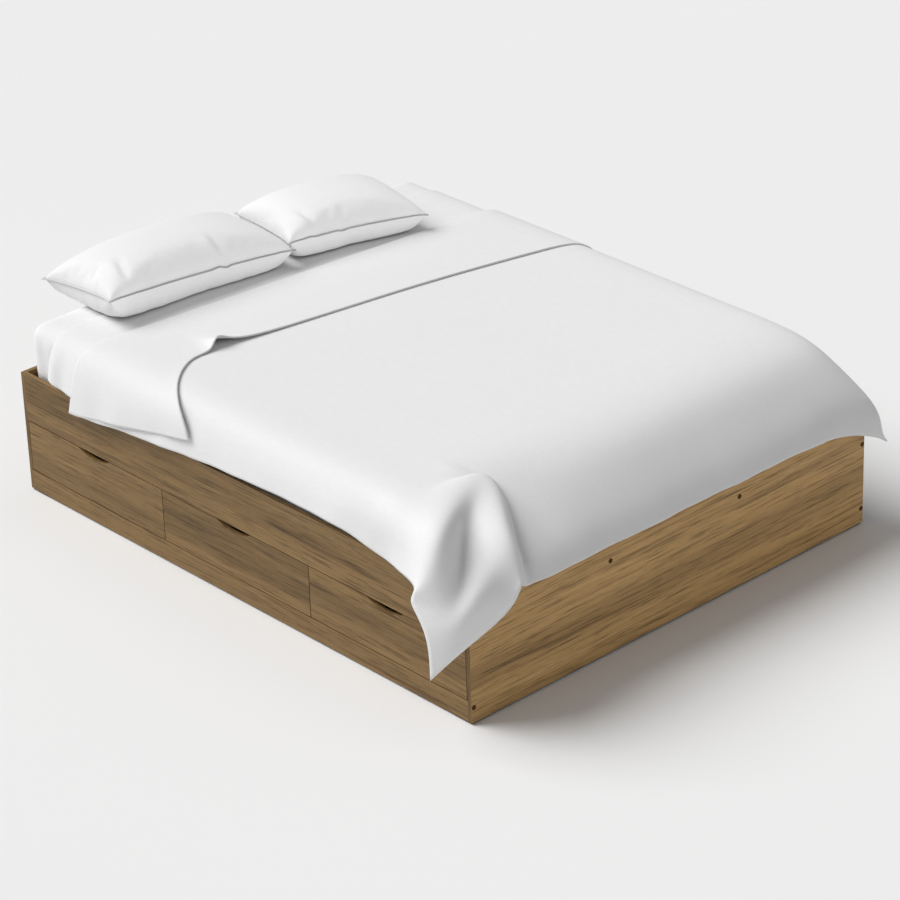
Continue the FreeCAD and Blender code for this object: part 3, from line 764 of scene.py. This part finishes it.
def plump(made, width, depth, height):
    """Shapes the flat case: a full crown above the seam, and a boxed underside that lies flat."""
    def rule(point, normal):
        a = 2 * point.x / width
        b = 2 * point.y / depth
        pull_x = 1 - 0.035 * (1 - b * b)
        pull_y = 1 - 0.075 * (1 - a * a)
        room = max((1 - abs(a) ** 2.3) * (1 - abs(b) ** 2.3), 0.0)
        if point.z >= 0:
            return Vector((point.x * pull_x, point.y * pull_y, height * room ** 0.52))
        tuck = 1 - 0.05 * smooth_step(1 - max(abs(a), abs(b)), 0.0, 0.12)
        belly = -height * min(room * 4, 1.0) ** 0.5
        return Vector((point.x * pull_x * tuck, point.y * pull_y * tuck, belly))

    move_points(made, rule)


def held_near(made, places, reach):
    """Limits how far the simulation may have moved each vertex."""
    for vertex, place in zip(made.data.vertices, places):
        off = vertex.co - place
        if off.length > reach:
            vertex.co = place + off * (reach / off.length)


def build_pillow(name, node, case, seam_heights, turn, creases, material, piping_painted_shade):
    """A pillow; case is its width, depth and crown, and seam_heights are at the front and back corners."""
    low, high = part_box(node)
    middle = (low + high) / 2
    width, depth, height = case
    made, ring = pillow_case(name, width, depth, material)
    plump(made, width, depth, height)
    shaped = [vertex.co.copy() for vertex in made.data.vertices]
    blow_up(made, 4.0, 18)
    held_near(made, shaped, 0.014)
    rest = low.z
    front_left, front_right, back_left, back_right = seam_heights
    spin = Matrix.Rotation(math.radians(turn), 3, "Z")

    def settle(point, normal):
        """Creases the case and lays it on the bed, where its underside is pressed flat."""
        for start, run, dent in creases:
            along = Vector(run)
            off = Vector((point.x - start[0], point.y - start[1]))
            length = along.length
            along.normalize()
            forward = off.dot(along)
            beside = off.dot(Vector((-along.y, along.x)))
            reach = smooth_step(forward, -0.02, 0.03) * (1 - smooth_step(forward, length * 0.5, length))
            if point.z > 0:
                point.z -= dent * reach * math.exp(-(beside / 0.011) ** 2)
                point.z += dent * 0.55 * reach * math.exp(-((beside - 0.026) / 0.016) ** 2)
        u = point.x / width + 0.5
        v = point.y / depth + 0.5
        front = front_left + (front_right - front_left) * u
        back = back_left + (back_right - back_left) * u
        lift = front + (back - front) * v + point.z
        if lift < 0.016:
            lift = 0.004 + 0.012 * math.exp((lift - 0.016) / 0.012)
        if point.z < -0.004:
            gather = math.sin((point.x - point.y) * 88) + math.sin((point.x + point.y) * 143 + 1.1)
            point += Vector((normal.x, normal.y, 0)) * gather * 0.0016
        place = spin @ Vector((point.x, point.y, 0))
        return Vector((middle.x + place.x, middle.y + place.y, rest + lift))

    move_points(made, settle)
    ring_points = [made.data.vertices[index].co.copy() for index in ring]
    applied(made, "SUBSURF", levels=1, render_levels=1)
    made.data.shade_smooth()
    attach(made, "frame")
    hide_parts(node)
    # The cord takes the darker piping material, whose grey is painted seam shade.
    seam = seam_cord(f"{name}_piping", ring_points, 0.0026, piping_painted_shade)
    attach(seam, "frame")
    return made


def seam_cord(name, points, radius, material):
    """A thin sewn edge round a closed line of points."""
    curve = bpy.data.curves.new(name, "CURVE")
    curve.dimensions = "3D"
    spline = curve.splines.new("POLY")
    spline.points.add(len(points) - 1)
    for target, point in zip(spline.points, points):
        target.co = (*point, 1)
    spline.use_cyclic_u = True
    curve.bevel_depth = radius
    curve.bevel_resolution = 2
    holder = bpy.data.objects.new(name + "_path", curve)
    scene.collection.objects.link(holder)
    graph = bpy.context.evaluated_depsgraph_get()
    mesh = bpy.data.meshes.new_from_object(holder.evaluated_get(graph))
    bpy.data.objects.remove(holder)
    made = bpy.data.objects.new(name, mesh)
    mesh.materials.clear()
    mesh.materials.append(material)
    scene.collection.objects.link(made)
    made.data.shade_smooth()
    return made


# ---------------------------------------------------------------- studio

def area_light(name, place, target, size, power):
    data = bpy.data.lights.new(name, "AREA")
    data.shape = "RECTANGLE"
    data.size, data.size_y = size
    data.energy = power
    light = bpy.data.objects.new(name, data)
    light.location = place
    light.rotation_mode = "QUATERNION"
    light.rotation_quaternion = (Vector(target) - Vector(place)).to_track_quat("-Z", "Y")
    light.visible_camera = False
    scene.collection.objects.link(light)
    return light


def build_studio():
    """The floor, a soft key light and a fill for what faces the foot end; returns what the fill lights."""
    corners = [(x * FLOOR_REACH, y * FLOOR_REACH, 0) for x, y in ((-1, -1), (1, -1), (1, 1), (-1, 1))]
    floor = mesh_object("studio_floor", corners, [(0, 1, 2, 3)], studio_floor())
    world = bpy.data.worlds.new("studio")
    world.use_nodes = True
    world.node_tree.nodes["Background"].inputs["Color"].default_value = (1, 1, 1, 1)
    world.node_tree.nodes["Background"].inputs["Strength"].default_value = 0.29
    scene.world = world
    key = bpy.data.lights.new("key", "SUN")
    key.energy = 2.85
    key.angle = math.radians(45)
    sun = bpy.data.objects.new("key", key)
    sun.rotation_mode = "QUATERNION"
    sun.rotation_quaternion = Vector((0.36, -0.54, -0.76)).to_track_quat("-Z", "Y")
    scene.collection.objects.link(sun)
    foot_fill = area_light("foot_fill", (0.5, -6.0, 1.6), (0.0, -1.0, 0.2), (4.0, 2.0), 190)
    lit = bpy.data.collections.new("lit_by_foot_fill")
    for node in ("foot_panel", "floor_pads", "screw_caps"):
        lit.objects.link(nodes[node])
    foot_fill.light_linking.receiver_collection = lit
    scene.view_settings.view_transform = "Standard"
    return lit


def build_camera():
    azimuth = math.radians(-41.886)
    elevation = math.radians(27.306)
    roll = math.radians(-2.076)
    back = Vector((
        math.sin(azimuth) * math.cos(elevation),
        -math.cos(azimuth) * math.cos(elevation),
        math.sin(elevation),
    ))
    data = bpy.data.cameras.new("photo_camera")
    data.sensor_width = 36
    data.lens = 143.09
    data.clip_end = 200
    camera = bpy.data.objects.new("photo_camera", data)
    camera.location = (-6.536, -7.343, 5.269)
    camera.rotation_mode = "QUATERNION"
    camera.rotation_quaternion = back.to_track_quat("Z", "Y") @ Quaternion((0, 0, 1), roll)
    scene.collection.objects.link(camera)
    scene.camera = camera


# ---------------------------------------------------------------- build

build_camera()
lit_by_fill = build_studio()
dress_frame()
white_sheet = cotton("cotton_sheet", (0.84, 0.84, 0.845), 0.0011, 0.10)
white_spread = cotton("cotton_spread", (0.84, 0.84, 0.842), 0.0016, 0.12)
white_case = cotton("cotton_pillow_case", (0.84, 0.84, 0.84), 0.0010, 0.10)
# The piping colour is painted shade: its cotton is a darker grey than the case so that the seam shows a
# shadow line.
piping_painted_shade = cotton("cotton_piping", (0.66, 0.66, 0.665), 0.0010, 0.05)
build_mattress(white_sheet)
top_sheet = build_top_sheet(white_sheet)
spread, flap = build_spread(white_spread)
near_creases = [((-0.26, -0.16), (0.04, 0.12), 0.012), ((0.10, -0.18), (-0.02, 0.09), 0.012)]
far_creases = [((-0.14, -0.17), (-0.03, 0.10), 0.012), ((-0.05, -0.18), (0.03, 0.06), 0.008)]
near_pillow = build_pillow(
    "pillow_near_case", "pillow_near", case=(0.71, 0.40, 0.106), seam_heights=(0.100, 0.062, 0.045, 0.045),
    turn=-4.5, creases=near_creases, material=white_case, piping_painted_shade=piping_painted_shade,
)
far_pillow = build_pillow(
    "pillow_far_case", "pillow_far", case=(0.515, 0.40, 0.088), seam_heights=(0.085, 0.062, 0.045, 0.045),
    turn=-13, creases=far_creases, material=white_case, piping_painted_shade=piping_painted_shade,
)
for pillow in (near_pillow, far_pillow):
    lit_by_fill.objects.link(pillow)
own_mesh(flap)
